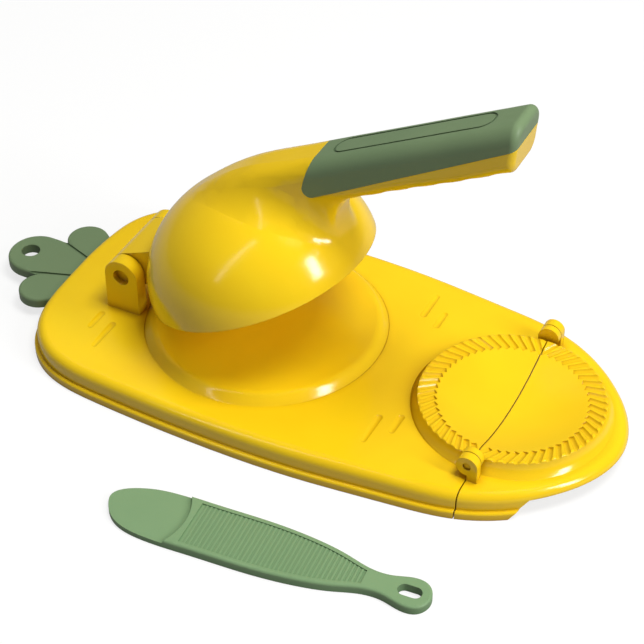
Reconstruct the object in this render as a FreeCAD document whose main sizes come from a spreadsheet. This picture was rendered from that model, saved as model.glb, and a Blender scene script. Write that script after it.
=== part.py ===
"""Carrot-shaped dumpling maker with a hinged press, a folding crimp mould and a loose spatula.

Millimetres. X runs from the press to the nose, Y away from the front edge, Z up.
The origin is on the table, under the middle of the press.
"""
import FreeCAD, Part
import math
import os
import Sketcher

doc = FreeCAD.newDocument("dumpling_maker")
sheet = doc.addObject("Spreadsheet::Sheet", "sizes")

SIZES = (
    # Carrot-shaped body, shared by the tray and the folding nose
    ("tray_left", 116.0, "press centre to the leaf end of the lip"),
    ("tray_nose", 195.0, "press centre to the tip of the nose"),
    ("tray_half_width", 79.8, "half width of the lip at the press"),
    ("tray_top", 16.5, "height of the top skin at the press"),
    ("crown_across", 1900.0, "radius of the top skin across the body"),
    ("crown_along", 6000.0, "radius of the top skin along the body"),
    ("wall", 2.4, "thickness of skin and walls"),
    ("lip_height", 4.6, "height of the flared lip at the foot"),
    ("lip_reach", 2.0, "how far the lip stands out of the wall"),
    ("lip_round", 1.4, "rounding of the lip's upper edge"),
    ("shoulder_round", 5.0, "rounding between wall and top skin"),
    ("split_gap", 0.6, "gap between tray and folding nose"),
    ("overrun", 2.0, "how far every cutting tool passes its work"),
    # Platform under the press, with its support
    ("platform_radius", 56.0, "flat top of the platform"),
    ("platform_foot", 65.0, "where the soft slope meets the skin"),
    ("platform_top", 20.5, "height of the platform"),
    ("platform_sink", 1.5, "how far the slope runs under the skin at the middle"),
    ("hub_radius", 9.0, "support hub under the platform"),
    ("ring_rib_radius", 42.0, "ring rib under the platform, to its middle"),
    ("rib_thickness", 2.0, "thickness of the ribs"),
    ("rib_lift", 1.0, "ribs stop this far above the table"),
    # Press hinge
    ("press_axis_back", 70.5, "hinge axis behind the press centre"),
    ("press_axis_height", 37.5, "height of the press hinge axis"),
    ("press_lug_radius", 9.5, "rounded top of each lug"),
    ("press_lug_thick", 7.6, "thickness of each lug"),
    ("press_lug_recess", 3.4, "how deep the pin sits inside each lug"),
    ("tongue_half", 17.0, "half width of the tongue between the lugs"),
    ("side_clearance", 0.4, "side play at every hinge"),
    ("press_pin_radius", 4.5, "radius of the press hinge pin"),
    ("running_clearance", 0.06, "radial play of a turning pin"),
    ("press_open", 22.4, "degrees the press stands open at rest"),
    # Press head, drawn closed
    ("dome_radius", 59.3, "outer radius of the dome at its rim"),
    ("dome_height", 49.6, "height of the dome above its rim"),
    ("dome_rim", 26.5, "height of the closed rim above the table"),
    ("dome_wall", 2.6, "thickness of the dome"),
    ("plate_radius", 46.0, "radius of the pressing face"),
    ("plate_gap", 0.8, "pressing face above the platform when closed"),
    ("plate_flange", 2.6, "thickness of the plate's flange"),
    ("plate_fit", 0.2, "play between the flange and the dome"),
    ("plate_chamfer", 1.0, "chamfer round the pressing face"),
    ("seat_width", 3.0, "inner ledge in the dome that carries the flange"),
    ("post_radius", 4.5, "screw post inside the dome"),
    ("post_circle", 51.0, "circle of the screw posts"),
    ("tongue_inner", 30.0, "press centre to the end of the tongue's arm"),
    # Handle, drawn closed
    ("handle_start", 50.0, "press centre to the end of the swelling neck"),
    ("handle_end", 173.0, "press centre to the upper corner of the handle's end, before rounding"),
    ("handle_half", 14.2, "half width of the grip"),
    ("handle_low", 64.2, "height of the grip's underside at its start"),
    ("handle_tall", 22.6, "height of the grip"),
    ("handle_rise", 10.0, "rise of the grip from start to end"),
    ("grip_round", 8.0, "rounding along the grip's upper edges"),
    ("grip_under_round", 6.0, "rounding along the grip's lower edges"),
    ("end_round", 3.2, "rounding of the grip's end"),
    ("end_slant", 11.3, "how far the grip's end leans out over its height"),
    ("neck_back", 34.0, "where the neck starts, behind the press centre"),
    ("neck_sink", 13.6, "how far the neck starts below the dome's top"),
    ("neck_fillet", 22.0, "hollow rounding between neck and dome"),
    ("neck_low", 30.0, "height of the neck's underside inside the dome"),
    ("cover_depth", 17.0, "depth of the cover at its inner end, from its top to its seam"),
    ("cover_end_depth", 10.6, "depth of the cover at the handle's end"),
    ("cover_lean", 12.0, "how far the cover's inner end leans over its depth"),
    ("cover_round", 4.0, "rounding of the cover's lower tip"),
    ("cover_start", 59.0, "press centre to the top of the cover's inner end"),
    ("cover_wall", 2.4, "thickness of the cover"),
    ("cover_screw_seat", 3.2, "seam down to each cover screw's seat"),
    ("panel_start", 15.8, "cover's inner end to the middle of the panel's round end"),
    ("panel_end", 24.0, "handle's end to the middle of the panel's other round end"),
    ("panel_half", 6.6, "half width of the oval panel"),
    ("panel_line", 1.1, "width of the line round the panel"),
    ("panel_depth", 0.7, "depth of the line round the panel"),
    ("ripple_pitch", 14.5, "spacing of the finger ripples"),
    ("ripple_depth", 1.8, "depth of the finger ripples"),
    ("ripple_radius", 14.0, "radius of each finger ripple"),
    # Mould, half in the tray and half in the folding nose
    ("mould_x", 135.0, "press centre to the mould's middle and fold line"),
    ("ring_foot", 50.6, "outer foot of the raised mould ring"),
    ("ring_outer", 46.0, "outer edge of the ring's crest"),
    ("ring_crest", 45.0, "middle of the ring's crest"),
    ("ring_slope", 44.0, "upper edge of the toothed slope"),
    ("ring_inner", 36.8, "lower edge of the toothed slope"),
    ("crest_height", 21.8, "height of the ring's crest"),
    ("crest_drop", 0.4, "how far the crest rounds down at its edges"),
    ("bowl_edge", 20.0, "height of the bowl's edge inside the ring"),
    ("skirt_height", 13.2, "height of the ring's lower edge under the skin"),
    ("bowl_depth", 6.5, "depth of the bowl below its edge"),
    ("tooth_radius", 1.5, "radius of each crimping groove"),
    ("tooth_lift", 0.6, "middle of each groove above the slope it is cut in"),
    ("tooth_skew", 32.0, "degrees the grooves lean from the radius"),
    ("tooth_pitch", 4.4, "spacing of the grooves along the ring"),
    # Fold hinge of the nose
    ("flap_axis_height", 22.7, "height of the fold axis"),
    ("flap_lug_radius", 5.4, "rounding of the nose's lugs and the tray's knuckles"),
    ("flap_lug_thick", 4.6, "thickness of each lug"),
    ("knuckle_inner", 47.0, "fold line's middle to the tray's knuckle"),
    ("knuckle_thick", 3.6, "thickness of each knuckle"),
    ("flap_pin_radius", 2.0, "radius of the fold pins"),
    ("flap_pin_recess", 0.9, "how deep each pin sits in its lug"),
    ("turn_clearance", 0.9, "room round the turning knuckles and lugs"),
    ("relief_height", 9.0, "finger relief under the nose"),
    ("relief_start", 23.0, "fold line to the start of the relief"),
    ("relief_run", 7.0, "length of the relief's slope"),
    # Crease marks pressed into the skin
    ("crease_radius", 2.2, "radius of the round tool of each crease mark"),
    ("crease_depth", 0.8, "depth of each crease mark"),
    ("crease_long", 21.6, "length of the longer mark of a pair"),
    ("crease_short", 15.0, "length of the shorter mark of a pair"),
    ("crease_step", 9.5, "spacing of a pair's two marks"),
    ("crease_shift", 8.2, "how far the shorter mark stands nearer the middle line"),
    # Leaf tab
    ("leaf_bottom", 5.6, "height of the leaf's underside"),
    ("leaf_thick", 5.4, "thickness of the leaf"),
    ("leaf_round", 1.5, "rounding of the leaf's edges"),
    ("leaf_tip", 157.0, "press centre to the tip of the middle lobe"),
    ("leaf_half", 15.4, "half width of the middle lobe"),
    ("leaf_root", 94.0, "press centre to the leaf's inner end"),
    ("side_lobe_back", 124.0, "press centre to the middle of a side lobe's tip"),
    ("side_lobe_out", 23.5, "middle line to the middle of a side lobe's tip"),
    ("side_lobe_radius", 11.2, "radius of a side lobe"),
    ("side_root_out", 13.0, "middle line to the root of a side lobe"),
    ("leaf_fit", 0.15, "play between the leaf and its slot"),
    ("leaf_hole_radius", 5.0, "hanging hole"),
    ("leaf_hole_back", 145.5, "press centre to the hanging hole"),
    ("vein_width", 1.4, "width of the groove between two lobes"),
    ("vein_depth", 0.9, "depth of the groove between two lobes"),
    ("leaf_screw_out", 10.0, "middle line to each leaf screw"),
    ("leaf_screw_in", 7.0, "leaf's inner end to each leaf screw"),
    # Screws
    ("screw_radius", 1.45, "radius of every screw's shank"),
    ("screw_head_radius", 2.9, "radius of every screw's head"),
    ("screw_head", 1.8, "height of every screw's head"),
    ("screw_length", 8.0, "length of the press head's screw shanks"),
    ("leaf_screw_length", 6.0, "length of the leaf screws' shanks"),
    ("screw_fit", 0.05, "play round every screw"),
    ("boss_wall", 1.8, "wall of a screw boss"),
    # Spatula
    ("spatula_length", 161.0, "length of the spatula"),
    ("spatula_half", 15.4, "half width of the blade"),
    ("spatula_neck", 6.4, "half width of the neck"),
    ("spatula_eye", 9.4, "half width of the hanging end"),
    ("spatula_thick", 4.6, "thickness of the paddle"),
    ("blade_thick", 2.8, "thickness of the blade"),
    ("blade_length", 40.0, "length of the blade"),
    ("spatula_round", 1.2, "rounding of the spatula's upper edge"),
    ("paddle_margin", 2.6, "rim round the knurled panel"),
    ("paddle_sink", 0.7, "depth of the knurled panel"),
    ("knurl_pitch", 2.2, "spacing of the knurl's ribs"),
    ("eye_half", 3.3, "half width of the hanging eye"),
    ("spatula_turn", 4.3, "degrees the spatula lies turned"),
    ("spatula_x", 13.0, "spatula's blade end behind the press centre"),
    ("spatula_y", 132.5, "spatula's blade end in front of the press centre"),
)

for row, (name, value, meaning) in enumerate(SIZES, start=1):
    sheet.set(f"A{row}", meaning)
    sheet.set(f"B{row}", str(value))
    sheet.setAlias(f"B{row}", name)
doc.recompute()

# Half of the body's plan outline, from the leaf end to the nose. The first column is a
# share of the length on that side of the press, the second a share of the half width.
LEAF_END_SHARES = ((1.0, 0.0), (0.992, 0.34), (0.94, 0.645), (0.80, 0.855), (0.48, 0.965))
NOSE_END_SHARES = ((0.03, 1.0), (0.30, 0.982), (0.52, 0.925), (0.70, 0.85),
                   (0.80, 0.735), (0.90, 0.53), (0.975, 0.265), (1.0, 0.0))
UP = FreeCAD.Vector(0, 0, 1)
ACROSS = FreeCAD.Vector(0, 1, 0)
SIDES = (-1, 1)
sub_parts = []


def keep(label, shape, placement=FreeCAD.Placement()):
    """Sub-part whose form is set by Part's own functions."""
    feature = doc.addObject("Part::Feature", label)
    feature.Label = label
    feature.Shape = shape
    feature.Placement = placement
    sub_parts.append(feature)
    return feature


def box(low, high):
    return Part.makeBox(high[0] - low[0], high[1] - low[1], high[2] - low[2], FreeCAD.Vector(*low))


def bar(radius, start, end):
    """Round bar between two points."""
    start = FreeCAD.Vector(*start)
    run = FreeCAD.Vector(*end) - start
    return Part.makeCylinder(radius, run.Length, start, run)


def extruded(points, along):
    """Prism over a polygon, drawn anywhere in space."""
    corners = [FreeCAD.Vector(*point) for point in points]
    return Part.Face(Part.makePolygon(corners + corners[:1])).extrude(FreeCAD.Vector(*along))


def slot_face(start, end, radius):
    """Flat slot: two round ends joined by straight sides."""
    start = FreeCAD.Vector(*start)
    end = FreeCAD.Vector(*end)
    out = (end - start).normalize()
    side = UP.cross(out) * radius
    edges = [Part.LineSegment(start - side, end - side),
             Part.Arc(end - side, end + out * radius, end + side),
             Part.LineSegment(end + side, start + side),
             Part.Arc(start + side, start - out * radius, start - side)]
    return Part.Face(Part.Wire([edge.toShape() for edge in edges]))


def joined(solids):
    """One solid, fused piece by piece."""
    whole = solids[0]
    for solid in solids[1:]:
        whole = whole.fuse(solid)
    return whole


def rounded(solid, radius, wanted):
    """Solid with a fillet on the edges that the test picks."""
    return solid.makeFillet(radius, [edge for edge in solid.Edges if wanted(edge)])


# Carrot-shaped body
def carrot_curve(inset):
    """Plan outline of the body, drawn in from the lip by the inset."""
    half = [(-sheet.tray_left * x, sheet.tray_half_width * y) for x, y in LEAF_END_SHARES]
    half += [(sheet.tray_nose * x, sheet.tray_half_width * y) for x, y in NOSE_END_SHARES]
    points = [FreeCAD.Vector(x, -y, 0) for x, y in half]
    points += [FreeCAD.Vector(x, y, 0) for x, y in half[-2:0:-1]]
    lip = Part.BSplineCurve()
    lip.interpolate(points, PeriodicFlag=True)
    inward = [UP.cross(lip.tangent(lip.parameter(point))[0]) for point in points]
    curve = Part.BSplineCurve()
    curve.interpolate([p + n * inset for p, n in zip(points, inward)], PeriodicFlag=True)
    return curve


def carrot_prism(inset, low, high):
    face = Part.Face(Part.Wire([carrot_curve(inset).toShape()]))
    face.translate(UP * low)
    return face.extrude(UP * (high - low))


def crown(drop):
    """Solid under the gently crowned top skin, lowered by the drop."""
    reach = sheet.crown_along - sheet.crown_across
    middle = FreeCAD.Vector(0, 0, sheet.tray_top - drop - sheet.crown_along)
    return Part.makeTorus(reach, sheet.crown_across, middle, ACROSS)


def carrot_outside():
    wall = carrot_prism(sheet.lip_reach, 0, sheet.tray_top + sheet.overrun).common(crown(0))
    wall = rounded(wall, sheet.shoulder_round, lambda edge: edge.BoundBox.ZMin > sheet.lip_height)
    lip = carrot_prism(0, 0, sheet.lip_height)
    lip = rounded(lip, sheet.lip_round, lambda edge: edge.BoundBox.ZMin > 0)
    return wall.fuse(lip)


def carrot_inside():
    room = carrot_prism(sheet.lip_reach + sheet.wall, -sheet.overrun, sheet.tray_top)
    return room.common(crown(sheet.wall))


def fold_side(side):
    """Room on one side of the fold line: -1 for the tray, 1 for the nose."""
    reach = sheet.tray_left + sheet.tray_nose
    edge = sheet.mould_x + side * sheet.split_gap / 2
    low = min(edge, edge + side * 2 * reach)
    return box((low, -reach, -reach), (low + 2 * reach, reach, reach))


def end_wall(side):
    """Slab that closes the hollow body along the fold line."""
    edge = sheet.mould_x + side * sheet.split_gap / 2
    low = min(edge, edge + side * sheet.wall)
    reach = sheet.tray_half_width
    return box((low, -reach, 0), (low + sheet.wall, reach, sheet.tray_top))


def carrot_shell(side):
    """Hollow body on one side of the fold line, closed by a wall along that line."""
    outside = carrot_outside().common(fold_side(side))
    return outside.cut(carrot_inside()).fuse(outside.copy().common(end_wall(side)))


# Mould ring, bowl and crimping grooves
def revolved(profile, centre, axis):
    face = Part.Face(Part.Wire([edge.toShape() for edge in profile]))
    return face.revolve(centre, axis, 360)


def bowl_arc(thicken):
    """Round bottom of the bowl from its middle to its edge, lowered by the thickness."""
    depth = sheet.bowl_depth
    edge = sheet.ring_inner
    round_radius = (edge ** 2 + depth ** 2) / (2 * depth)
    centre_height = sheet.bowl_edge - depth + round_radius

    def at(radius):
        drop = math.sqrt((round_radius + thicken) ** 2 - radius ** 2)
        return FreeCAD.Vector(sheet.mould_x + radius, 0, centre_height - drop)
    return at(0), at(edge / 2), at(edge)


def mould_ring():
    """Raised ring round a shallow bowl, turned about the mould's middle."""
    def at(radius, height):
        return FreeCAD.Vector(sheet.mould_x + radius, 0, height)
    side_height = sheet.crest_height - sheet.crest_drop
    floor, floor_mid, edge = bowl_arc(0)
    under, under_mid, under_edge = bowl_arc(sheet.wall)
    slope_top = at(sheet.ring_slope, side_height)
    outer_top = at(sheet.ring_outer, side_height)
    flank_out_share = 0.32
    flank_down_share = 0.60
    flank_mid = at(sheet.ring_outer + (sheet.ring_foot - sheet.ring_outer) * flank_out_share,
                   side_height - (side_height - sheet.skirt_height) * flank_down_share)
    foot = at(sheet.ring_foot, sheet.skirt_height)
    inner_foot = at(sheet.ring_foot - sheet.wall, sheet.skirt_height)
    slope_under = at(sheet.ring_slope, sheet.bowl_edge - sheet.wall)
    profile = [Part.Arc(floor, floor_mid, edge),
               Part.LineSegment(edge, slope_top),
               Part.Arc(slope_top, at(sheet.ring_crest, sheet.crest_height), outer_top),
               Part.Arc(outer_top, flank_mid, foot),
               Part.LineSegment(foot, inner_foot),
               Part.LineSegment(inner_foot, slope_under),
               Part.LineSegment(slope_under, under_edge),
               Part.Arc(under_edge, under_mid, under),
               Part.LineSegment(under, floor)]
    return revolved(profile, at(0, 0), UP)


def crimp_grooves(side):
    """Slanted pleating grooves across the ring's slope and crest."""
    middle = FreeCAD.Vector(sheet.mould_x, 0, sheet.tooth_lift)
    radius = (sheet.ring_inner + sheet.ring_slope) / 2
    rise = sheet.crest_height - sheet.crest_drop - sheet.bowl_edge
    run = sheet.ring_slope - sheet.ring_inner
    count = int(math.pi * radius / sheet.tooth_pitch)
    skew = math.radians(sheet.tooth_skew)
    low_share = 0.5
    high_share = 0.9
    grooves = []
    for number in range(count):
        angle = math.pi * (number + 0.5) / count - math.pi / 2
        outward = FreeCAD.Vector(side * math.cos(angle), math.sin(angle), 0)
        along_ring = FreeCAD.Vector(side * math.sin(angle), -math.cos(angle), 0)
        slope = outward * run + along_ring * (run * math.tan(skew)) + UP * rise
        spot = middle + outward * radius + UP * (sheet.bowl_edge + rise / 2)
        grooves.append(bar(sheet.tooth_radius, spot - slope * low_share, spot + slope * high_share))
    return grooves


def mould_half(side):
    half = mould_ring().common(fold_side(side))
    return half.cut(Part.makeCompound(crimp_grooves(side)))


def mould_hole():
    """Round hole in the skin that the mould closes."""
    return Part.makeCylinder(sheet.ring_foot - sheet.wall / 2, 2 * sheet.tray_top,
                             FreeCAD.Vector(sheet.mould_x, 0, -sheet.overrun))


# Fold hinge shared by the tray's knuckles and the nose's lugs
def fold_bar(radius, start, length, side):
    """Bar on the fold axis, from the start outwards on the front or rear side."""
    near = FreeCAD.Vector(sheet.mould_x, side * start, sheet.flap_axis_height)
    return bar(radius, near, near + ACROSS * (side * length))


def lug_inner():
    return sheet.knuckle_inner + sheet.knuckle_thick + sheet.side_clearance


def hinge_plate(start, thick, side, fold):
    """Round plate on the fold axis, with a leg down into the skin on one side of the fold line."""
    near, far = sorted((side * start, side * (start + thick)))
    fold_face = sheet.mould_x + fold * sheet.split_gap / 2
    leg_face = sheet.mould_x + fold * sheet.flap_lug_radius
    left, right = sorted((fold_face, leg_face))
    foot = sheet.tray_top - sheet.wall - sheet.shoulder_round
    leg = box((left, near, foot), (right, far, sheet.flap_axis_height))
    return fold_bar(sheet.flap_lug_radius, start, thick, side).fuse(leg)


def fold_lug(side):
    """Outer plate of the fold hinge, on the nose."""
    return hinge_plate(lug_inner(), sheet.flap_lug_thick, side, 1)


def knuckle(side):
    """Inner plate of the fold hinge, on the tray."""
    return hinge_plate(sheet.knuckle_inner, sheet.knuckle_thick, side, -1)


def lug_room(side):
    """Room for the turning lug."""
    return fold_bar(sheet.flap_lug_radius + sheet.turn_clearance, lug_inner() - sheet.side_clearance / 2,
                    sheet.flap_lug_thick + sheet.side_clearance, side)


def knuckle_room(side):
    """Room round the knuckle that the nose turns about."""
    return fold_bar(sheet.flap_lug_radius + sheet.turn_clearance, sheet.knuckle_inner - sheet.side_clearance,
                    sheet.knuckle_thick + 2 * sheet.side_clearance, side)


# Leaf tab
def leaf_blank(grow, thick):
    """Three round lobes of one thickness, grown all round by the play in their slot."""
    root = -sheet.leaf_root - sheet.leaf_half
    lobes = [slot_face((root, 0, 0), (sheet.leaf_half - sheet.leaf_tip, 0, 0), sheet.leaf_half + grow)]
    for side in SIDES:
        tip = (-sheet.side_lobe_back, side * sheet.side_lobe_out, 0)
        lobes.append(slot_face((root, side * sheet.side_root_out, 0), tip, sheet.side_lobe_radius + grow))
    return joined([lobe.extrude(UP * thick) for lobe in lobes]).removeSplitter()


def leaf_screw_spots():
    back = sheet.leaf_screw_in - sheet.leaf_root
    return [FreeCAD.Vector(back - sheet.leaf_half, side * sheet.leaf_screw_out, 0) for side in SIDES]


def leaf_screw_lift():
    """Height of the leaf screws' heads, let into the leaf's underside."""
    return sheet.leaf_bottom + sheet.screw_head


def leaf_screw_end():
    return leaf_screw_lift() + sheet.leaf_screw_length


# Tray
def platform():
    """Raised round platform with a soft slope, turned about the press centre."""
    def at(radius, height):
        return FreeCAD.Vector(radius, 0, height)
    foot = sheet.tray_top - sheet.platform_sink
    inward = FreeCAD.Vector(1, 0, 0)

    def slope(drop):
        curve = Part.BSplineCurve()
        ends = [at(sheet.platform_radius, sheet.platform_top - drop), at(sheet.platform_foot, foot - drop)]
        curve.interpolate(ends, InitialTangent=inward, FinalTangent=inward)
        return curve
    top = sheet.platform_top
    under = top - sheet.wall
    profile = [Part.LineSegment(at(0, top), at(sheet.platform_radius, top)),
               slope(0),
               Part.LineSegment(at(sheet.platform_foot, foot), at(sheet.platform_foot, foot - sheet.wall)),
               slope(sheet.wall),
               Part.LineSegment(at(sheet.platform_radius, under), at(0, under)),
               Part.LineSegment(at(0, under), at(0, top))]
    return revolved(profile, at(0, 0), UP)


def press_lugs():
    """Two tall lugs that carry the press hinge pin."""
    inner = sheet.tongue_half + sheet.side_clearance
    outer = inner + sheet.press_lug_thick
    radius = sheet.press_lug_radius
    back = -sheet.press_axis_back
    foot = sheet.tray_top - sheet.wall
    lugs = []
    for side in SIDES:
        near, far = sorted((side * inner, side * outer))
        leg = box((back - radius, near, foot), (back + radius, far, sheet.press_axis_height))
        axis = FreeCAD.Vector(back, 0, sheet.press_axis_height)
        eye = bar(radius, axis + ACROSS * (side * inner), axis + ACROSS * (side * outer))
        bore = bar(sheet.press_pin_radius, axis, axis + ACROSS * (side * (outer + sheet.overrun)))
        lugs.append(leg.fuse(eye).cut(bore))
    return lugs[0].fuse(lugs[1])


def under_ribs():
    """Hub, ring rib and straight ribs that stiffen the tray from below."""
    top = sheet.tray_top
    low = sheet.rib_lift
    thick = sheet.rib_thickness
    reach = sheet.tray_left + sheet.tray_nose
    middle = FreeCAD.Vector(0, 0, low)
    ring = Part.makeCylinder(sheet.ring_rib_radius + thick / 2, top, middle)
    ring = ring.cut(Part.makeCylinder(sheet.ring_rib_radius - thick / 2, top, middle))
    spine = box((-sheet.leaf_root, -thick / 2, low), (sheet.mould_x - sheet.ring_foot, thick / 2, top))
    ribs = ring.fuse(spine)
    for x in (-sheet.platform_foot, 0, sheet.platform_foot):
        ribs = ribs.fuse(box((x - thick / 2, -reach, low), (x + thick / 2, reach, top)))
    platform_under = sheet.platform_top - sheet.wall
    platform_room = Part.makeCylinder(sheet.platform_radius, platform_under)
    hub = Part.makeCylinder(sheet.hub_radius, platform_under)
    return ribs.common(carrot_inside().fuse(platform_room)).fuse(hub)


def leaf_bosses():
    """Screw bosses under the skin that hold the leaf's root."""
    height = sheet.tray_top - sheet.wall - sheet.leaf_bottom - sheet.leaf_thick
    bosses = []
    for spot in leaf_screw_spots():
        spot = spot + UP * (sheet.leaf_bottom + sheet.leaf_thick)
        bosses.append(Part.makeCylinder(sheet.screw_radius + sheet.boss_wall, height, spot))
    return bosses


def skin_height(x, y):
    """Height of the crowned top skin."""
    reach = sheet.crown_along - sheet.crown_across
    across = reach + math.sqrt(sheet.crown_across ** 2 - y ** 2)
    return sheet.tray_top - sheet.crown_along + math.sqrt(across ** 2 - x ** 2)


def crease_marks():
    """Pairs of short round-ended grooves pressed into the skin, like the creases of a carrot."""
    pair_shares = ((-0.603, -0.571), (-0.603, 0.639), (0.417, -0.571), (0.352, 0.639))
    marks = []
    for x_share, y_share in pair_shares:
        end_side = 1 if x_share > 0 else -1
        side = 1 if y_share > 0 else -1
        x = x_share * (sheet.tray_nose if x_share > 0 else sheet.tray_left)
        y = sheet.tray_half_width * y_share
        long_mark = (x, y, sheet.crease_long)
        short_mark = (x + end_side * sheet.crease_step, y - side * sheet.crease_shift, sheet.crease_short)
        for mark_x, mark_y, length in (long_mark, short_mark):
            lift = skin_height(mark_x, mark_y) - sheet.crease_depth + sheet.crease_radius
            middle = FreeCAD.Vector(mark_x, mark_y, lift)
            half = ACROSS * (length / 2 - sheet.crease_radius)
            marks.append(joined([bar(sheet.crease_radius, middle - half, middle + half),
                                 Part.makeSphere(sheet.crease_radius, middle - half),
                                 Part.makeSphere(sheet.crease_radius, middle + half)]))
    return Part.makeCompound(marks)


def base_tray():
    shell = carrot_shell(-1).cut(mould_hole())
    shell = shell.cut(Part.makeCylinder(sheet.platform_foot - sheet.wall, 2 * sheet.tray_top))
    shell = joined([shell, platform(), press_lugs(), under_ribs(), mould_half(-1), knuckle(-1), knuckle(1)]
                   + leaf_bosses())
    shell = shell.cut(crease_marks())
    leaf_slot = leaf_blank(sheet.leaf_fit, sheet.leaf_thick + 2 * sheet.leaf_fit)
    leaf_slot.translate(UP * (sheet.leaf_bottom - sheet.leaf_fit))
    shell = shell.cut(leaf_slot)
    for side in SIDES:
        shell = shell.cut(lug_room(side))
        shell = shell.cut(fold_bar(sheet.flap_pin_radius, sheet.knuckle_inner - sheet.overrun,
                                   sheet.knuckle_thick + 2 * sheet.overrun, side))
    pilot = [bar(sheet.screw_radius + sheet.screw_fit, spot, spot + UP * leaf_screw_end())
             for spot in leaf_screw_spots()]
    return shell.cut(Part.makeCompound(pilot))


def leaf_tab():
    leaf = leaf_blank(0, sheet.leaf_thick)
    leaf.translate(UP * sheet.leaf_bottom)
    top = sheet.leaf_bottom + sheet.leaf_thick
    leaf = rounded(leaf, sheet.leaf_round, lambda edge: edge.BoundBox.ZMin > top - sheet.leaf_fit)
    hole_foot = FreeCAD.Vector(-sheet.leaf_hole_back, 0, 0)
    leaf = leaf.cut(bar(sheet.leaf_hole_radius, hole_foot, hole_foot + UP * 2 * top))
    floor = top - sheet.vein_depth
    for side in SIDES:
        start = (-sheet.leaf_root - sheet.leaf_half, side * sheet.side_root_out / 2, floor)
        end = (-sheet.side_lobe_back - sheet.side_lobe_radius, side * sheet.leaf_half, floor)
        leaf = leaf.cut(slot_face(start, end, sheet.vein_width / 2).extrude(UP * sheet.leaf_thick))
    for spot in leaf_screw_spots():
        leaf = leaf.cut(bar(sheet.screw_radius + sheet.screw_fit, spot, spot + UP * 2 * top))
        leaf = leaf.cut(bar(sheet.screw_head_radius + sheet.screw_fit, spot, spot + UP * leaf_screw_lift()))
    return leaf


# Folding nose
def mould_flap():
    nose = carrot_shell(1).cut(mould_hole())
    nose = joined([nose, mould_half(1), fold_lug(-1), fold_lug(1)])
    start = sheet.mould_x + sheet.relief_start
    end = sheet.tray_nose + sheet.overrun
    wide = 2 * sheet.tray_half_width
    low = -sheet.overrun
    relief = extruded([(start, -sheet.tray_half_width, low), (start, -sheet.tray_half_width, 0),
                       (start + sheet.relief_run, -sheet.tray_half_width, sheet.relief_height),
                       (end, -sheet.tray_half_width, sheet.relief_height),
                       (end, -sheet.tray_half_width, low)], (0, wide, 0))
    nose = nose.cut(relief)
    for side in SIDES:
        nose = nose.cut(knuckle_room(side))
        nose = nose.cut(fold_bar(sheet.flap_pin_radius + sheet.running_clearance, sheet.knuckle_inner,
                                 sheet.knuckle_thick + sheet.flap_lug_thick + sheet.overrun, side))
    return nose.removeSplitter()


# Press head, drawn closed. Each row is one section of the neck: how far it stands along the
# neck, its half width, upper and lower rounding and flare as shares of the grip's half width,
# then the shares of the rise that its top and its underside have made.
NECK_SHARES = ((0.0, 1.056, 0.845, 0.704, 0.423, 0.0, 0.0),
               (0.262, 1.232, 0.986, 0.775, 0.423, 0.58, 0.117),
               (0.5, 1.197, 0.915, 0.775, 0.352, 0.823, 0.351),
               (0.762, 1.099, 0.739, 0.775, 0.141, 0.951, 0.702),
               (1.0, 1.014, 0.585, 0.634, 0.0, 1.0, 0.947))


def dome_bowl(shrink):
    """Half ellipsoid of the dome, drawn in by the shrink."""
    radius = sheet.dome_radius - shrink
    height = sheet.dome_height - shrink
    centre = FreeCAD.Vector(0, 0, sheet.dome_rim)
    rim = centre + ACROSS * radius
    top = centre + UP * height
    ellipse = Part.Ellipse(top, rim, centre) if height > radius else Part.Ellipse(rim, top, centre)
    start, end = sorted((ellipse.parameter(rim), ellipse.parameter(top)))
    arc = Part.ArcOfEllipse(ellipse, start, end).toBSpline()
    profile = [arc, Part.LineSegment(top, centre), Part.LineSegment(centre, rim)]
    face = Part.Face(Part.Wire(Part.__sortEdges__([edge.toShape() for edge in profile])))
    return face.revolve(centre, UP, 360)


def grip_section(x, half, low, high, upper_round, lower_round, flare):
    """Upright section of the neck or grip: round corners and sides that flare out downwards."""
    upper = (half - upper_round, high - upper_round)
    lower = (half + flare - lower_round, low + lower_round)
    across = lower[0] - upper[0]
    down = lower[1] - upper[1]
    turn = math.atan2(down, across) + math.acos((upper_round - lower_round) / math.hypot(across, down))

    def corner(side, centre, radius, start, end):
        return [FreeCAD.Vector(x, side * (centre[0] + radius * math.cos(angle)),
                               centre[1] + radius * math.sin(angle))
                for angle in (start, (start + end) / 2, end)]
    quarter = math.pi / 2
    corners = [corner(1, upper, upper_round, quarter, turn),
               corner(1, lower, lower_round, turn, -quarter),
               corner(-1, lower, lower_round, -quarter, turn),
               corner(-1, upper, upper_round, turn, quarter)]
    edges = []
    for number, (start, middle, end) in enumerate(corners):
        edges.append(Part.LineSegment(corners[number - 1][-1], start).toShape())
        edges.append(Part.Arc(start, middle, end).toShape())
    return Part.Wire(edges)


def grip_low(x):
    slope = sheet.handle_rise / (sheet.handle_end - sheet.handle_start)
    return sheet.handle_low + slope * (x - sheet.handle_start)


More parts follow.
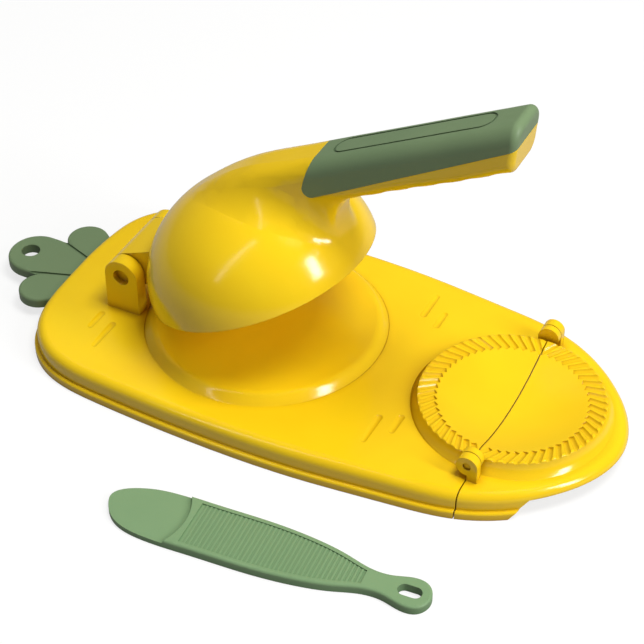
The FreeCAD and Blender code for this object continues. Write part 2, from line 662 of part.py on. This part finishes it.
def neck_and_grip():
    """Neck that swells out of the dome and runs on as the grip, with a slanted round end."""
    dome_top = sheet.dome_rim + sheet.dome_height
    start_top = dome_top - sheet.neck_sink
    grip_top = sheet.handle_low + sheet.handle_tall
    sections = []
    for along, half, upper_round, lower_round, flare, rise, low_rise in NECK_SHARES:
        x = (sheet.handle_start + sheet.neck_back) * along - sheet.neck_back
        low = sheet.neck_low + (sheet.handle_low - sheet.neck_low) * low_rise
        top = start_top + (grip_top - start_top) * rise
        sections.append(grip_section(x, sheet.handle_half * half, low, top, sheet.handle_half * upper_round,
                                     sheet.handle_half * lower_round, sheet.handle_half * flare))
    grip_shares = (0.13, 0.325, 0.553, 0.78, 1.0)
    for share in grip_shares:
        x = sheet.handle_start + (sheet.handle_end - sheet.handle_start) * share
        low = grip_low(x)
        sections.append(grip_section(x, sheet.handle_half, low, low + sheet.handle_tall,
                                     sheet.grip_round, sheet.grip_under_round, 0))
    highest_degree = 3
    solid = Part.makeLoft(sections, True, False, False, highest_degree)
    wide = 2 * sheet.handle_half
    foot = grip_low(sheet.handle_end)
    beyond = extruded([(sheet.handle_end - 2 * sheet.end_slant, -wide, foot - sheet.handle_tall),
                       (sheet.handle_end, -wide, foot + sheet.handle_tall),
                       (sheet.handle_end + wide, -wide, foot + sheet.handle_tall),
                       (sheet.handle_end + wide, -wide, foot - sheet.handle_tall)], (0, 2 * wide, 0))
    solid = solid.cut(beyond)
    end_face = max(solid.Faces, key=lambda face: face.CenterOfMass.x)
    return solid.makeFillet(sheet.end_round, end_face.Edges)


def seam_height(x):
    """Seam between the lower half of the grip and its cover."""
    share = (x - sheet.cover_start) / (sheet.handle_end - sheet.cover_start)
    depth = sheet.cover_depth + (sheet.cover_end_depth - sheet.cover_depth) * share
    return grip_low(x) + sheet.handle_tall - depth


def cover_room():
    """Room that the cover takes: above the seam and beyond its leaning inner end."""
    wide = 2 * sheet.handle_half
    end = sheet.handle_end + sheet.overrun
    foot = sheet.cover_start - sheet.cover_lean
    over = 2 * sheet.cover_depth
    head = foot + 2 * sheet.cover_lean
    room = extruded([(foot, -wide, seam_height(foot)), (end, -wide, seam_height(end)),
                     (end, -wide, seam_height(end) + over), (head, -wide, seam_height(foot) + over)],
                    (0, 2 * wide, 0))
    return rounded(room, sheet.cover_round, lambda edge: edge.BoundBox.XMax < foot + sheet.overrun)


def finger_ripples():
    """Round scoops under the grip."""
    ripple_run_share = 0.75
    count = int((sheet.handle_end - sheet.handle_start) * ripple_run_share / sheet.ripple_pitch)
    scoops = []
    for number in range(count):
        x = sheet.handle_end - sheet.end_round - (number + 1) * sheet.ripple_pitch
        z = grip_low(x) + sheet.ripple_depth - sheet.ripple_radius
        scoops.append(bar(sheet.ripple_radius, (x, -sheet.handle_half, z), (x, sheet.handle_half, z)))
    return Part.makeCompound(scoops)


def tongue():
    """Arm from the dome to the hinge, with a round end between the lugs."""
    back = -sheet.press_axis_back
    height = sheet.press_axis_height
    radius = sheet.press_lug_radius
    half = sheet.tongue_half
    eye = bar(radius, (back, -half, height), (back, half, height))
    arm = box((back, -half, height - radius), (-sheet.tongue_inner, half, height + radius))
    return eye.fuse(arm)


def plate_screw_spots():
    """Four screws through the press plate's flange into the dome's posts."""
    spots = []
    for x_side in SIDES:
        for y_side in SIDES:
            diagonal = FreeCAD.Vector(x_side, y_side, 0).normalize()
            spots.append(diagonal * sheet.post_circle)
    return spots


def cover_screw_spots():
    """Two screws up through the grip into the cover."""
    screw_shares = (0.30, 0.72)
    run = sheet.handle_end - sheet.cover_start
    return [sheet.cover_start + run * share for share in screw_shares]


def dome_with_neck(grip):
    """Full dome and lower half of the grip, flowing into each other by a fillet."""
    solid = dome_bowl(0).fuse(grip.cut(cover_room()))
    dome_face = max(solid.Faces, key=lambda face: face.Area)
    above_rim = sheet.dome_rim + sheet.dome_wall
    return solid.makeFillet(sheet.neck_fillet, [e for e in dome_face.Edges if e.BoundBox.ZMin > above_rim])


def press_dome(grip):
    outer = dome_with_neck(grip).fuse(tongue())
    flange_top = sheet.dome_rim + sheet.plate_flange
    posts = []
    for spot in plate_screw_spots():
        posts.append(bar(sheet.post_radius, spot + UP * flange_top, spot + UP * sheet.dome_height))
    ledge_foot = FreeCAD.Vector(0, 0, flange_top)
    ledge = Part.makeCylinder(sheet.dome_radius, sheet.seat_width, ledge_foot)
    ledge_inside = sheet.dome_radius - sheet.dome_wall - sheet.seat_width
    ledge = ledge.cut(Part.makeCylinder(ledge_inside, sheet.dome_height, ledge_foot))
    inner = dome_bowl(sheet.dome_wall).cut(Part.makeCompound(posts)).cut(ledge)
    dome = outer.cut(inner).cut(finger_ripples())
    axis = (-sheet.press_axis_back, 0, sheet.press_axis_height)
    bore = bar(sheet.press_pin_radius + sheet.running_clearance,
               (axis[0], -2 * sheet.tongue_half, axis[2]), (axis[0], 2 * sheet.tongue_half, axis[2]))
    holes = [bore]
    for spot in plate_screw_spots():
        holes.append(bar(sheet.screw_radius + sheet.screw_fit, spot,
                         spot + UP * (sheet.dome_rim + sheet.screw_length)))
    for x in cover_screw_spots():
        low = FreeCAD.Vector(x, 0, grip_low(x) - sheet.overrun)
        holes.append(bar(sheet.screw_radius + sheet.screw_fit, low, (x, 0, seam_height(x) + sheet.overrun)))
        holes.append(bar(sheet.screw_head_radius + sheet.screw_fit, low, (x, 0, cover_screw_lift(x))))
    return dome.cut(Part.makeCompound(holes)).removeSplitter()


def cover_screw_lift(x):
    """Height of a cover screw's seat, deep in the grip's underside."""
    return seam_height(x) - sheet.cover_screw_seat


def cover_hollow():
    """Room inside the cover, open at the seam and clear of the two screw bosses."""
    wall = sheet.cover_wall
    sections = []
    for x in (sheet.cover_start + wall, sheet.handle_end - sheet.end_slant):
        top = grip_low(x) + sheet.handle_tall - wall
        sections.append(grip_section(x, sheet.handle_half - wall, top - sheet.cover_depth, top,
                                     sheet.grip_round - wall, sheet.grip_under_round, 0))
    bosses = []
    for x in cover_screw_spots():
        foot = FreeCAD.Vector(x, 0, grip_low(x))
        bosses.append(bar(sheet.screw_radius + sheet.boss_wall, foot, foot + UP * sheet.handle_tall))
    return Part.makeLoft(sections, True, True).cut(Part.makeCompound(bosses))


def handle_cover(grip):
    cover = grip.common(cover_room()).cut(cover_hollow())
    start = sheet.cover_start + sheet.panel_start
    end = sheet.handle_end - sheet.panel_end

    def panel(half, depth):
        face = slot_face((start, 0, 0), (end, 0, 0), half)
        solid = face.extrude(UP * (2 * sheet.handle_tall))
        slope = math.degrees(math.atan2(sheet.handle_rise, sheet.handle_end - sheet.handle_start))
        floor = grip_low(start) + sheet.handle_tall - depth
        solid.translate(UP * floor)
        solid.rotate(FreeCAD.Vector(start, 0, floor), ACROSS, -slope)
        return solid
    line = panel(sheet.panel_half, sheet.panel_depth)
    line = line.cut(panel(sheet.panel_half - sheet.panel_line, 2 * sheet.panel_depth))
    cover = cover.cut(line)
    holes = []
    for x in cover_screw_spots():
        low = FreeCAD.Vector(x, 0, grip_low(x))
        holes.append(bar(sheet.screw_radius + sheet.screw_fit, low,
                         (x, 0, cover_screw_lift(x) + sheet.screw_length)))
    return cover.cut(Part.makeCompound(holes)).removeSplitter()


def screws(spots, length):
    """Group of pan-head screws, each with its head at the lower end."""
    group = []
    for spot in spots:
        head = bar(sheet.screw_head_radius, spot - UP * sheet.screw_head, spot)
        group.append(head.fuse(bar(sheet.screw_radius, spot, spot + UP * length)))
    return Part.makeCompound(group)


# Sketched sub-parts
def value(expression):
    return sheet.evalExpression(expression)


def sketch_on(body, name, role):
    """Sketch on one of the body's own origin planes."""
    sketch = body.newObject("Sketcher::SketchObject", name)
    plane = [feature for feature in body.Origin.OriginFeatures if feature.Role == role][0]
    sketch.AttachmentSupport = (plane, "")
    sketch.MapMode = "FlatFace"
    return sketch


def pin_corner(sketch, geometry, point, x, y):
    """Ties a corner to the sketch's origin by two expressions."""
    for kind, axis, expression in (("DistanceX", -2, x), ("DistanceY", -1, y)):
        distance = value(expression)
        if distance == 0:
            sketch.addConstraint(Sketcher.Constraint("PointOnObject", geometry, point, axis))
        else:
            number = sketch.addConstraint(Sketcher.Constraint(kind, -1, 1, geometry, point, distance))
            sketch.setExpression(f"Constraints[{number}]", expression)


def polygon(sketch, corners):
    """Closed outline whose corners are pairs of expressions."""
    spots = [FreeCAD.Vector(value(x), value(y), 0) for x, y in corners]
    count = len(spots)
    for number in range(count):
        sketch.addGeometry(Part.LineSegment(spots[number], spots[(number + 1) % count]), False)
    for number, (x, y) in enumerate(corners):
        sketch.addConstraint(Sketcher.Constraint("Coincident", number, 2, (number + 1) % count, 1))
        pin_corner(sketch, number, 1, x, y)


def new_body(label):
    body = doc.addObject("PartDesign::Body", label)
    body.Label = label
    sub_parts.append(body)
    return body


def turned(label, corners):
    """Piece turned about the upright axis from a profile of expressions."""
    body = new_body(label)
    sketch = sketch_on(body, label + "_profile", "XZ_Plane")
    polygon(sketch, corners)
    turning = body.newObject("PartDesign::Revolution", label + "_turning")
    turning.Profile = sketch
    turning.ReferenceAxis = (sketch, ["V_Axis"])
    turning.Angle = 360
    return body


def pin(label, radius, length):
    """Round pin along Y, padded to both sides of its middle."""
    body = new_body(label)
    sketch = sketch_on(body, label + "_section", "XZ_Plane")
    sketch.addGeometry(Part.Circle(FreeCAD.Vector(0, 0, 0), UP, value(radius)), False)
    sketch.addConstraint(Sketcher.Constraint("Coincident", 0, 3, -1, 1))
    number = sketch.addConstraint(Sketcher.Constraint("Radius", 0, value(radius)))
    sketch.setExpression(f"Constraints[{number}]", radius)
    pad = body.newObject("PartDesign::Pad", label + "_pad")
    pad.Profile = sketch
    pad.setExpression("Length", length)
    pad.SideType = "Symmetric"
    return body


def place(body, x, y, z):
    """Moves a body to a place given by three expressions."""
    for axis, expression in (("x", x), ("y", y), ("z", z)):
        body.setExpression(f"Placement.Base.{axis}", expression)


# Spatula
SPATULA_SHARES = ((0.07, 0.80, 1), (0.15, 0.98, 1), (0.30, 1.0, 1), (0.48, 0.99, 1), (0.63, 0.86, 1),
                  (0.73, 1.55, 0), (0.80, 1.04, 0), (0.87, 1.0, 0))
EYE_SHARES = ((0.935, 0.95), (0.975, 0.82))


def spatula_curve(inset):
    """Plan outline from the blade's round end to the hanging end."""
    half = [(sheet.spatula_length * along, (sheet.spatula_half if wide else sheet.spatula_neck) * share)
            for along, share, wide in SPATULA_SHARES]
    half += [(sheet.spatula_length * along, sheet.spatula_eye * share) for along, share in EYE_SHARES]
    points = [FreeCAD.Vector(0, 0, 0)]
    points += [FreeCAD.Vector(x, -y, 0) for x, y in half]
    points += [FreeCAD.Vector(sheet.spatula_length, 0, 0)]
    points += [FreeCAD.Vector(x, y, 0) for x, y in half[::-1]]
    edge = Part.BSplineCurve()
    edge.interpolate(points, PeriodicFlag=True)
    inward = [UP.cross(edge.tangent(edge.parameter(point))[0]) for point in points]
    curve = Part.BSplineCurve()
    curve.interpolate([p + n * inset for p, n in zip(points, inward)], PeriodicFlag=True)
    return curve


def spatula():
    face = Part.Face(Part.Wire([spatula_curve(0).toShape()]))
    solid = face.extrude(UP * sheet.spatula_thick)
    solid = rounded(solid, sheet.spatula_round, lambda edge: edge.BoundBox.ZMin > sheet.spatula_thick / 2)
    wide = 2 * sheet.spatula_half
    blade_room = Part.makeCylinder(wide, sheet.spatula_thick,
                                   FreeCAD.Vector(sheet.blade_length - wide, 0, sheet.blade_thick))
    solid = solid.cut(blade_room)
    inner = Part.Face(Part.Wire([spatula_curve(sheet.paddle_margin).toShape()]))
    panel = inner.extrude(UP * sheet.spatula_thick)
    panel.translate(UP * (sheet.spatula_thick - sheet.paddle_sink))
    panel_start = sheet.blade_length + sheet.paddle_margin
    panel_end_share = 0.80
    panel_end = sheet.spatula_length * panel_end_share
    room = box((panel_start, -wide, 0), (panel_end, wide, 2 * sheet.spatula_thick))
    notch = Part.makeCylinder(wide, 2 * sheet.spatula_thick, FreeCAD.Vector(panel_start - wide, 0, 0))
    panel = panel.common(room.cut(notch))
    solid = solid.cut(panel)
    ribs = []
    count = int((panel_end - panel_start) / sheet.knurl_pitch)
    for number in range(1, count):
        x = panel_start + number * sheet.knurl_pitch
        ribs.append(box((x, -wide, sheet.blade_thick), (x + sheet.knurl_pitch / 2, wide, sheet.spatula_thick
                                                       - sheet.paddle_sink / 2)))
    solid = solid.fuse(Part.makeCompound(ribs).common(panel))
    eye_x = sheet.spatula_length - sheet.spatula_eye
    eye = slot_face((eye_x - sheet.eye_half, 0, 0), (eye_x + sheet.eye_half / 2, 0, 0), sheet.eye_half)
    return solid.cut(eye.extrude(UP * 2 * sheet.spatula_thick)).removeSplitter()


# Build, in the order of assembly
keep("base_tray", base_tray())
keep("leaf_tab", leaf_tab())
keep("leaf_screws",
     screws([spot + UP * leaf_screw_lift() for spot in leaf_screw_spots()], sheet.leaf_screw_length))

press_pin = pin("press_hinge_pin", "sizes.press_pin_radius",
                "2 * (sizes.tongue_half + sizes.side_clearance"
                " + sizes.press_lug_thick - sizes.press_lug_recess)")
place(press_pin, "-sizes.press_axis_back", "0", "sizes.press_axis_height")

keep("mould_flap", mould_flap())
for side, end in zip(SIDES, ("front", "rear")):
    fold_pin = pin("flap_hinge_pin_" + end, "sizes.flap_pin_radius",
                   "sizes.knuckle_thick + sizes.side_clearance"
                   " + sizes.flap_lug_thick - sizes.flap_pin_recess")
    place(fold_pin, "sizes.mould_x",
          f"{side} * (sizes.knuckle_inner + (sizes.knuckle_thick + sizes.side_clearance"
          " + sizes.flap_lug_thick - sizes.flap_pin_recess) / 2)",
          "sizes.flap_axis_height")

hinge = FreeCAD.Vector(-sheet.press_axis_back, 0, sheet.press_axis_height)
opened = FreeCAD.Placement(FreeCAD.Vector(0, 0, 0), FreeCAD.Rotation(ACROSS, -sheet.press_open), hinge)
grip = neck_and_grip()
keep("press_dome", press_dome(grip), opened)
keep("handle_cover", handle_cover(grip), opened)
keep("handle_cover_screws",
     screws([FreeCAD.Vector(x, 0, cover_screw_lift(x)) for x in cover_screw_spots()], sheet.screw_length),
     opened)

low = "(sizes.platform_top + sizes.plate_gap)"
inner_radius = "(sizes.dome_radius - sizes.dome_wall - sizes.plate_fit)"
plate = turned("press_plate", (
    ("0", low), ("sizes.plate_radius - sizes.plate_chamfer", low),
    ("sizes.plate_radius", low + " + sizes.plate_chamfer"), ("sizes.plate_radius", "sizes.dome_rim"),
    (inner_radius, "sizes.dome_rim"), (inner_radius, "sizes.dome_rim + sizes.plate_flange"),
    ("sizes.plate_radius - sizes.wall", "sizes.dome_rim + sizes.plate_flange"),
    ("sizes.plate_radius - sizes.wall", low + " + sizes.wall"), ("0", low + " + sizes.wall")))
plate_holes = sketch_on(plate, "press_plate_holes", "XY_Plane")
for number, (x_side, y_side) in enumerate((x, y) for x in SIDES for y in SIDES):
    across = f"{x_side} * sizes.post_circle * cos(45)"
    along = f"{y_side} * sizes.post_circle * cos(45)"
    hole_radius = "sizes.screw_radius + sizes.screw_fit"
    spot = FreeCAD.Vector(value(across), value(along), 0)
    plate_holes.addGeometry(Part.Circle(spot, UP, value(hole_radius)), False)
    pin_corner(plate_holes, number, 3, across, along)
    constraint = plate_holes.addConstraint(Sketcher.Constraint("Radius", number, value(hole_radius)))
    plate_holes.setExpression(f"Constraints[{constraint}]", hole_radius)
drilling = plate.newObject("PartDesign::Pocket", "press_plate_drilling")
drilling.Profile = plate_holes
drilling.Type = "ThroughAll"
drilling.SideType = "Symmetric"
plate.Placement = opened
keep("press_plate_screws",
     screws([spot + UP * sheet.dome_rim for spot in plate_screw_spots()], sheet.screw_length), opened)

keep("filling_spatula", spatula(),
     FreeCAD.Placement(FreeCAD.Vector(-sheet.spatula_x, -sheet.spatula_y, 0),
                       FreeCAD.Rotation(UP, sheet.spatula_turn)))

doc.recompute()
for thing in doc.Objects:
    if "Invalid" in thing.State or "Error" in thing.State:
        raise RuntimeError(f"{thing.Label} failed: {thing.State}")
for thing in sub_parts:
    if thing.Shape.isNull() or not thing.Shape.isValid():
        raise RuntimeError(f"{thing.Label} has no valid shape")

os.makedirs("parts", exist_ok=True)
for thing in sub_parts:
    thing.Shape.exportStep(f"parts/{thing.Label}.step")
    print(thing.Label, len(thing.Shape.Solids), round(thing.Shape.Volume), thing.Shape.BoundBox)
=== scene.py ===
import math
import bpy
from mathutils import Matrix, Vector

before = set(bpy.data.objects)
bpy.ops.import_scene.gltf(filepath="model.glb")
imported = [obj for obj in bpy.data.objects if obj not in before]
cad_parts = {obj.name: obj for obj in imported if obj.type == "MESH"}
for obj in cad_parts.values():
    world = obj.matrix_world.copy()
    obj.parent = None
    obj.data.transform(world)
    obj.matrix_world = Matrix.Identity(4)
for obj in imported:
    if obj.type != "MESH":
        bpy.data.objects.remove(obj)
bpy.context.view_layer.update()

# Base tray: the carrot-shaped body, moulded in one shot of glossy yellow ABS.
# Platform, hinge lugs and the fixed half of the crimping mould are part of the same moulding.
# The polished tool gives it a clean gloss and a faint orange peel; a deeper yellow is painted into its grooves
# and creases as shade.
MM = 0.001
TRAY_YELLOW = "F6CF18"
TRAY_ORANGE = "EEB90C"
# Painted shade: the deeper yellow put into the body's grooves and creases.
TRAY_PAINTED_SHADE = "C49406"


def linear(srgb_hex):
    """sRGB hex colour to the linear RGBA that shaders take."""
    shares = [int(srgb_hex[start:start + 2], 16) / 255 for start in (0, 2, 4)]
    return [s / 12.92 if s <= 0.04045 else ((s + 0.055) / 1.055) ** 2.4 for s in shares] + [1.0]


def add(tree, kind, sockets=None, **settings):
    """Adds a shader node. A socket takes a plain value or another node's output."""
    made = tree.nodes.new(kind)
    for name, setting in settings.items():
        setattr(made, name, setting)
    for name, given in (sockets or {}).items():
        if isinstance(given, bpy.types.NodeSocket):
            tree.links.new(given, made.inputs[name])
        else:
            made.inputs[name].default_value = given
    return made


def new_material(name):
    material = bpy.data.materials.new(name)
    material.use_nodes = True
    material.node_tree.nodes.clear()
    return material, material.node_tree


def moulded_plastic(name, colour, deep, painted_crease_shade, roughness, ior, peel_mm, peel_height_mm, edge_mm):
    """Injection-moulded plastic: flow marks, painted shade in grooves and creases, orange peel, soft edges,
    worn gloss.
    """
    material, tree = new_material(name)
    place = add(tree, "ShaderNodeTexCoord").outputs["Object"]
    flow_mm = 55
    flow = add(tree, "ShaderNodeTexNoise", {"Vector": place, "Scale": 1 / (flow_mm * MM), "Detail": 2.0,
                                            "Distortion": 0.6})
    flow_share = add(tree, "ShaderNodeMapRange", {"Value": flow.outputs["Fac"], "From Min": 0.3,
                                                  "From Max": 0.7, "To Min": 0.0, "To Max": 0.35})
    tone = add(tree, "ShaderNodeMix", {0: flow_share.outputs["Result"], 6: linear(colour),
                                       7: linear(deep)}, data_type="RGBA")
    # Painted shade: an ambient-occlusion mask pulls the colour towards the given darker shade colour in
    # grooves, creases and corners.
    crease_shade_reach_mm = 5
    open_share = add(tree, "ShaderNodeAmbientOcclusion", {"Distance": crease_shade_reach_mm * MM}, samples=8)
    crease_shade_share = add(tree, "ShaderNodeMapRange", {"Value": open_share.outputs["AO"], "From Min": 0.45,
                                                  "From Max": 0.98, "To Min": 0.9, "To Max": 0.0})
    shaded = add(tree, "ShaderNodeMix", {0: crease_shade_share.outputs["Result"], 6: tone.outputs[2],
                                         7: linear(painted_crease_shade)}, data_type="RGBA")
    soft_edge = add(tree, "ShaderNodeBevel", {"Radius": edge_mm * MM}, samples=6)
    peel = add(tree, "ShaderNodeTexNoise", {"Vector": place, "Scale": 1 / (peel_mm * MM), "Detail": 1.5})
    rub_mm = 7
    rub_dulling = 0.10
    rub = add(tree, "ShaderNodeTexNoise", {"Vector": place, "Scale": 1 / (rub_mm * MM), "Detail": 6.0,
                                           "Roughness": 0.65})
    gloss = add(tree, "ShaderNodeMapRange", {"Value": rub.outputs["Fac"], "From Min": 0.35,
                                             "From Max": 0.75, "To Min": roughness,
                                             "To Max": roughness + rub_dulling})
    bump = add(tree, "ShaderNodeBump", {"Height": peel.outputs["Fac"], "Strength": 0.35,
                                        "Distance": peel_height_mm * MM,
                                        "Normal": soft_edge.outputs["Normal"]})
    shader = add(tree, "ShaderNodeBsdfPrincipled", {
        "Base Color": shaded.outputs[2], "Roughness": gloss.outputs["Result"], "IOR": ior,
        "Normal": bump.outputs["Normal"]})
    add(tree, "ShaderNodeOutputMaterial", {"Surface": shader.outputs["BSDF"]})
    return material


def dress(node, material):
    """Gives a CAD node its finish."""
    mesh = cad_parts[node].data
    mesh.materials.clear()
    mesh.materials.append(material)


gloss_abs = moulded_plastic("gloss_abs_yellow", TRAY_YELLOW, TRAY_ORANGE, TRAY_PAINTED_SHADE, roughness=0.12, ior=1.53,
                            peel_mm=0.9, peel_height_mm=0.02, edge_mm=0.6)
dress("base_tray", gloss_abs)

# Leaf tab: three lobes of satin green polypropylene, let into a slot in the body's end.
# Two zinc-plated screws hold its root from below. The satin tool leaves a broad, soft sheen.
LEAF_GREEN = "758A64"
LEAF_DEEP = "647C59"
# Painted shade: the darker green put into the leaf's grooves and creases.
LEAF_PAINTED_SHADE = "566B4C"
satin_pp = moulded_plastic("satin_pp_green", LEAF_GREEN, LEAF_DEEP, LEAF_PAINTED_SHADE, roughness=0.42, ior=1.49,
                           peel_mm=0.5, peel_height_mm=0.03, edge_mm=0.5)
dress("leaf_tab", satin_pp)


def zinc_steel(name, colour):
    """Zinc-plated steel: pale grey metal with faint turning marks."""
    material, tree = new_material(name)
    place = add(tree, "ShaderNodeTexCoord").outputs["Object"]
    mark_mm = 0.4
    marks = add(tree, "ShaderNodeTexNoise", {"Vector": place, "Scale": 1 / (mark_mm * MM), "Detail": 3.0})
    gloss = add(tree, "ShaderNodeMapRange", {"Value": marks.outputs["Fac"], "To Min": 0.25, "To Max": 0.45})
    shader = add(tree, "ShaderNodeBsdfPrincipled", {"Base Color": linear(colour), "Metallic": 1.0,
                                                    "Roughness": gloss.outputs["Result"]})
    add(tree, "ShaderNodeOutputMaterial", {"Surface": shader.outputs["BSDF"]})
    return material


SCREW_GREY = "B9BCC0"
plated_steel = zinc_steel("zinc_plated_steel", SCREW_GREY)
dress("leaf_screws", plated_steel)

# Hinge pins: short round pins of the body's yellow ABS, one for the press and two for the folding nose.
# They are pressed into the body's lugs and knuckles, and have the body's own gloss.
for pin in ("press_hinge_pin", "flap_hinge_pin_front", "flap_hinge_pin_rear"):
    dress(pin, gloss_abs)

# Folding nose: the other half of the mould, moulded in the same yellow ABS as the body.
# It swings over on the two fold pins, so that its grooves meet those of the fixed half.
dress("mould_flap", gloss_abs)

# Press dome: hollow yellow ABS moulding with neck, lower grip and hinge tongue in one piece.
# A flat plate of the same plastic closes it from below, held by four screws.
dress("press_dome", gloss_abs)
dress("press_plate", gloss_abs)
dress("press_plate_screws", plated_steel)

# Handle cover: hollow shell of satin green polypropylene that makes the upper half of the grip.
# Two screws from under the grip pull it down on the seam.
dress("handle_cover", satin_pp)
dress("handle_cover_screws", plated_steel)

# Filling spatula: the loose one of the set, a flat moulding of paler green polypropylene.
# It has a smooth blade, a ribbed panel and a hanging eye, with the same satin sheen as the leaf.
SPATULA_GREEN = "7D9B70"
SPATULA_DEEP = "6F9066"
# Painted shade: the darker green put into the spatula's ribs and grooves.
SPATULA_PAINTED_SHADE = "688A5F"
spatula_pp = moulded_plastic("satin_pp_pale_green", SPATULA_GREEN, SPATULA_DEEP, SPATULA_PAINTED_SHADE, roughness=0.45,
                             ior=1.49, peel_mm=0.5, peel_height_mm=0.03, edge_mm=0.4)
dress("filling_spatula", spatula_pp)

# Floor and backdrop: a plain pale sheet of matt paper that keeps the soft shadow under the body.
# It is white to the camera and throws back less light than that, so undersides stay deep in colour.
FLOOR_HALF = 4.0
FLOOR_WHITE = "F6F6F4"
FLOOR_BOUNCE = "9C9C9A"
floor_mesh = bpy.data.meshes.new("floor")
floor_mesh.from_pydata([(-FLOOR_HALF, -FLOOR_HALF, 0), (FLOOR_HALF, -FLOOR_HALF, 0),
                        (FLOOR_HALF, FLOOR_HALF, 0), (-FLOOR_HALF, FLOOR_HALF, 0)], [], [(0, 1, 2, 3)])
floor = bpy.data.objects.new("floor", floor_mesh)
bpy.context.scene.collection.objects.link(floor)
floor_paper, tree = new_material("matt_white_paper")
path = add(tree, "ShaderNodeLightPath")
sheet_tone = add(tree, "ShaderNodeMix", {0: path.outputs["Is Camera Ray"], 6: linear(FLOOR_BOUNCE),
                                         7: linear(FLOOR_WHITE)}, data_type="RGBA")
paper = add(tree, "ShaderNodeBsdfDiffuse", {"Color": sheet_tone.outputs[2]})
bright = add(tree, "ShaderNodeEmission", {"Color": (1, 1, 1, 1), "Strength": 1.0})
SEEN_WHITE = 0.75
MIRRORED_WHITE = 0.15
seen = add(tree, "ShaderNodeMath", {0: path.outputs["Is Camera Ray"], 1: SEEN_WHITE}, operation="MULTIPLY")
whitened = add(tree, "ShaderNodeMath", {0: path.outputs["Is Glossy Ray"], 1: MIRRORED_WHITE,
                                        2: seen.outputs[0]}, operation="MULTIPLY_ADD")
mixed = add(tree, "ShaderNodeMixShader", {0: whitened.outputs[0], 1: paper.outputs[0],
                                          2: bright.outputs[0]})
add(tree, "ShaderNodeOutputMaterial", {"Surface": mixed.outputs[0]})
floor_mesh.materials.append(floor_paper)

# Light: an even pale room, a softbox on the right, a strip at the front left, and broad soft light from
# above and behind.
world = bpy.data.worlds.new("pale_room")
bpy.context.scene.world = world
world.use_nodes = True
world.node_tree.nodes.clear()
path = add(world.node_tree, "ShaderNodeLightPath")
seen = add(world.node_tree, "ShaderNodeMath",
           {0: path.outputs["Is Camera Ray"], 1: path.outputs["Is Transmission Ray"]}, operation="MAXIMUM")
ROOM_STRENGTH = 0.13
room = add(world.node_tree, "ShaderNodeMapRange", {"Value": seen.outputs[0], "To Min": ROOM_STRENGTH,
                                                   "To Max": 1.0})
backdrop = add(world.node_tree, "ShaderNodeBackground", {"Color": (1, 1, 1, 1),
                                                         "Strength": room.outputs["Result"]})
add(world.node_tree, "ShaderNodeOutputWorld", {"Surface": backdrop.outputs[0]})
CENTRE = Vector((0.03, 0.0, 0.06))


def softbox(name, azimuth, elevation, distance, width, height, watts, mirrored):
    """Area lamp that looks at the middle of the object from a bearing, with or without its mirror image."""
    lamp = bpy.data.lights.new(name, "AREA")
    lamp.shape = "RECTANGLE"
    lamp.size = width
    lamp.size_y = height
    lamp.energy = watts
    holder = bpy.data.objects.new(name, lamp)
    bpy.context.scene.collection.objects.link(holder)
    holder.visible_glossy = mirrored
    turn = math.radians(azimuth)
    lift = math.radians(elevation)
    away = Vector((math.sin(turn) * math.cos(lift), -math.cos(turn) * math.cos(lift), math.sin(lift)))
    holder.location = CENTRE + away * distance
    holder.rotation_euler = away.to_track_quat("Z", "Y").to_euler()


softbox("key_right", azimuth=82, elevation=30, distance=1.3, width=0.22, height=0.62, watts=8.8, mirrored=True)
softbox("strip_left", azimuth=-28, elevation=48, distance=1.3, width=0.07, height=1.2, watts=1.1, mirrored=True)
softbox("top_soft", azimuth=100, elevation=72, distance=1.5, width=0.6, height=0.6, watts=17, mirrored=False)
softbox("fill_back", azimuth=-120, elevation=55, distance=1.5, width=0.7, height=0.7, watts=4.5, mirrored=False)

# Camera: a long lens at the photograph's viewing angle, found from the body's outline and from
# the round platform and mould, which the photograph shows as ellipses.
CAMERA_AZIMUTH = math.radians(27.08)
CAMERA_ELEVATION = math.radians(40.40)
CAMERA_DISTANCE = 0.946
CAMERA_TARGET = Vector((0.01627, 0.02992, 0.0))
camera = bpy.data.cameras.new("camera")
camera.sensor_width = 36.0
camera.lens = 100.6
camera.clip_end = 20
holder = bpy.data.objects.new("camera", camera)
bpy.context.scene.collection.objects.link(holder)
back = Vector((math.sin(CAMERA_AZIMUTH) * math.cos(CAMERA_ELEVATION),
               -math.cos(CAMERA_AZIMUTH) * math.cos(CAMERA_ELEVATION), math.sin(CAMERA_ELEVATION)))
holder.location = CAMERA_TARGET + back * CAMERA_DISTANCE
holder.rotation_euler = back.to_track_quat("Z", "Y").to_euler()
bpy.context.scene.camera = holder
bpy.context.scene.view_settings.view_transform = "Standard"
